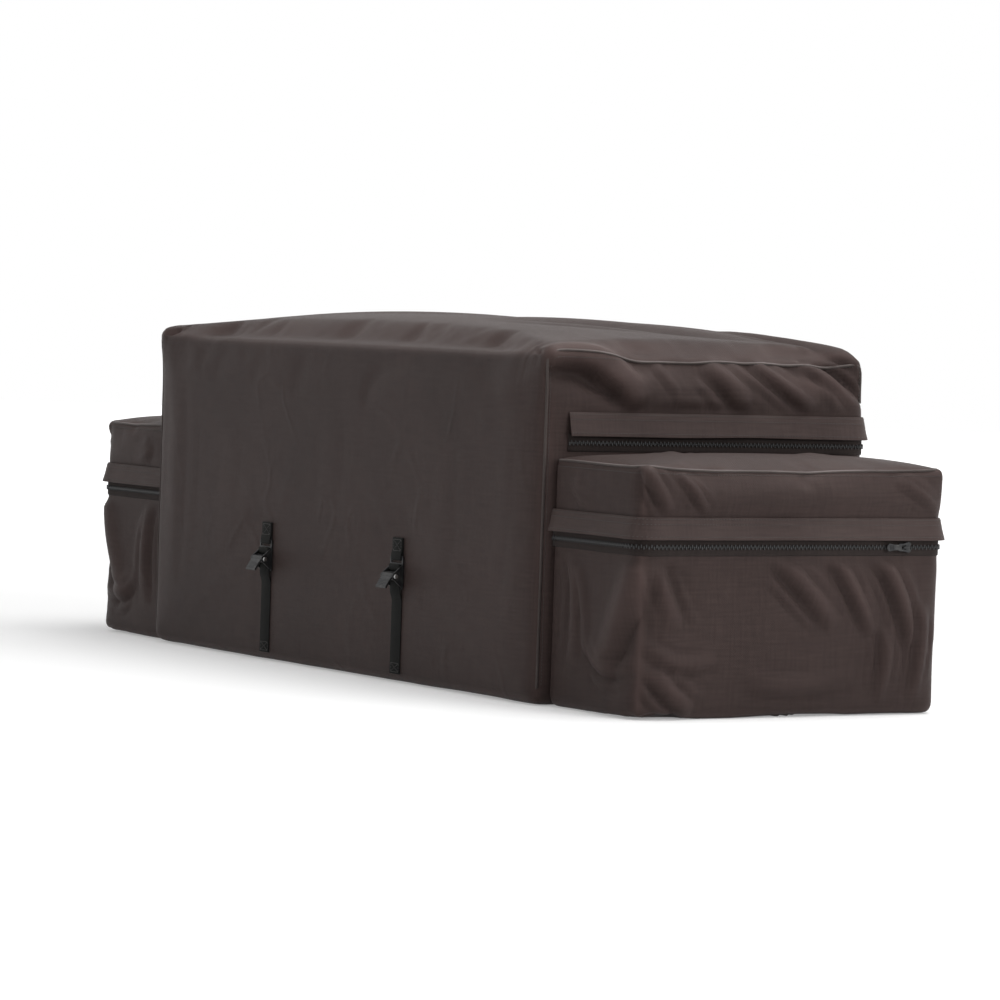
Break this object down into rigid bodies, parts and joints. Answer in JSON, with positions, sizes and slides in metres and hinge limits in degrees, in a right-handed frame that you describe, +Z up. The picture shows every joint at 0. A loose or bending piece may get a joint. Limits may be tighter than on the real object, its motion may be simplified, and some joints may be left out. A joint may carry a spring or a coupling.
{
  "type": "hitch cargo bag",
  "caption": "Long soft cargo bag with a tall stuffed middle, a low zipped compartment at each end, storm flaps and cam-buckle tie-down straps.",
  "frame": {"origin": "centre of the flat base", "axes": "+X along the bag's length, -Y towards the plain front face, +Y towards the long zip, +Z up"},
  "size_m": [1.4392, 0.5532, 0.475],
  "materials": {
    "shell": "black coated polyester, semi-matt with a soft sheen",
    "zip_tape": "matt black woven tape",
    "webbing": "matt black woven polyester webbing",
    "hardware": "blackened zinc, satin",
    "pin": "zinc plated, satin"
  },
  "bodies": {
    "bag": {"main_body": "shell", "main_lid": "shell", "main_zip": "zip_tape", "main_flap": "shell", "end_body_left": "shell", "end_body_right": "shell", "end_lid_left": "shell", "end_lid_right": "shell", "end_zip_left": "zip_tape", "end_zip_right": "zip_tape", "end_flap_left": "shell", "end_flap_right": "shell", "strap_tab_front_left": "webbing", "strap_tab_front_right": "webbing", "strap_tab_back_left": "webbing", "strap_tab_back_right": "webbing", "strap_front_left": "webbing", "strap_front_right": "webbing", "strap_back_left": "webbing", "strap_back_right": "webbing", "buckle_frame_front_left": "hardware", "buckle_frame_front_right": "hardware", "buckle_frame_back_left": "hardware", "buckle_frame_back_right": "hardware", "buckle_pin_front_left": "pin", "buckle_pin_front_right": "pin", "buckle_pin_back_left": "pin", "buckle_pin_back_right": "pin"},
    "main_slider_left": {"main_slider_left": "hardware"},
    "main_slider_right": {"main_slider_right": "hardware"},
    "end_slider_left": {"end_slider_left": "hardware"},
    "end_slider_right": {"end_slider_right": "hardware"},
    "main_pull_left": {"main_pull_left": "hardware"},
    "main_pull_right": {"main_pull_right": "hardware"},
    "end_pull_left": {"end_pull_left": "hardware"},
    "end_pull_right": {"end_pull_right": "hardware"},
    "cam_front_left": {"buckle_cam_front_left": "hardware"},
    "cam_front_right": {"buckle_cam_front_right": "hardware"},
    "cam_back_left": {"buckle_cam_back_left": "hardware"},
    "cam_back_right": {"buckle_cam_back_right": "hardware"}
  },
  "joints": [
    {"name": "main_slide_left", "type": "slide", "parent": "bag", "child": "main_slider_left", "axis": [-1, 0, 0], "range_m": [0, 0.45]},
    {"name": "main_slide_right", "type": "slide", "parent": "bag", "child": "main_slider_right", "axis": [1, 0, 0], "range_m": [0, 0.45]},
    {"name": "end_slide_left", "type": "slide", "parent": "bag", "child": "end_slider_left", "axis": [0, -1, 0], "range_m": [0, 0.33]},
    {"name": "end_slide_right", "type": "slide", "parent": "bag", "child": "end_slider_right", "axis": [0, -1, 0], "range_m": [0, 0.33]},
    {"name": "main_pull_swing_left", "type": "hinge", "parent": "main_slider_left", "child": "main_pull_left", "pos_m": [-0.012, 0.257, 0.329], "axis": [0, 0, -1], "range_deg": [0, 150]},
    {"name": "main_pull_swing_right", "type": "hinge", "parent": "main_slider_right", "child": "main_pull_right", "pos_m": [0.012, 0.257, 0.329], "axis": [0, 0, 1], "range_deg": [0, 150]},
    {"name": "end_pull_swing_left", "type": "hinge", "parent": "end_slider_left", "child": "end_pull_left", "pos_m": [-0.717, 0.165, 0.211], "axis": [0, 0, -1], "range_deg": [0, 150]},
    {"name": "end_pull_swing_right", "type": "hinge", "parent": "end_slider_right", "child": "end_pull_right", "pos_m": [0.717, 0.165, 0.211], "axis": [0, 0, 1], "range_deg": [0, 150]},
    {"name": "cam_press_front_left", "type": "hinge", "parent": "bag", "child": "cam_front_left", "pos_m": [-0.175, -0.2629, 0.14], "axis": [1, 0, 0], "range_deg": [0, 25], "stiffness_Nm_per_rad": 0.3},
    {"name": "cam_press_front_right", "type": "hinge", "parent": "bag", "child": "cam_front_right", "pos_m": [0.175, -0.2629, 0.14], "axis": [1, 0, 0], "range_deg": [0, 25], "stiffness_Nm_per_rad": 0.3},
    {"name": "cam_press_back_left", "type": "hinge", "parent": "bag", "child": "cam_back_left", "pos_m": [-0.175, 0.2629, 0.14], "axis": [-1, 0, 0], "range_deg": [0, 25], "stiffness_Nm_per_rad": 0.3},
    {"name": "cam_press_back_right", "type": "hinge", "parent": "bag", "child": "cam_back_right", "pos_m": [0.175, 0.2629, 0.14], "axis": [-1, 0, 0], "range_deg": [0, 25], "stiffness_Nm_per_rad": 0.3}
  ]
}
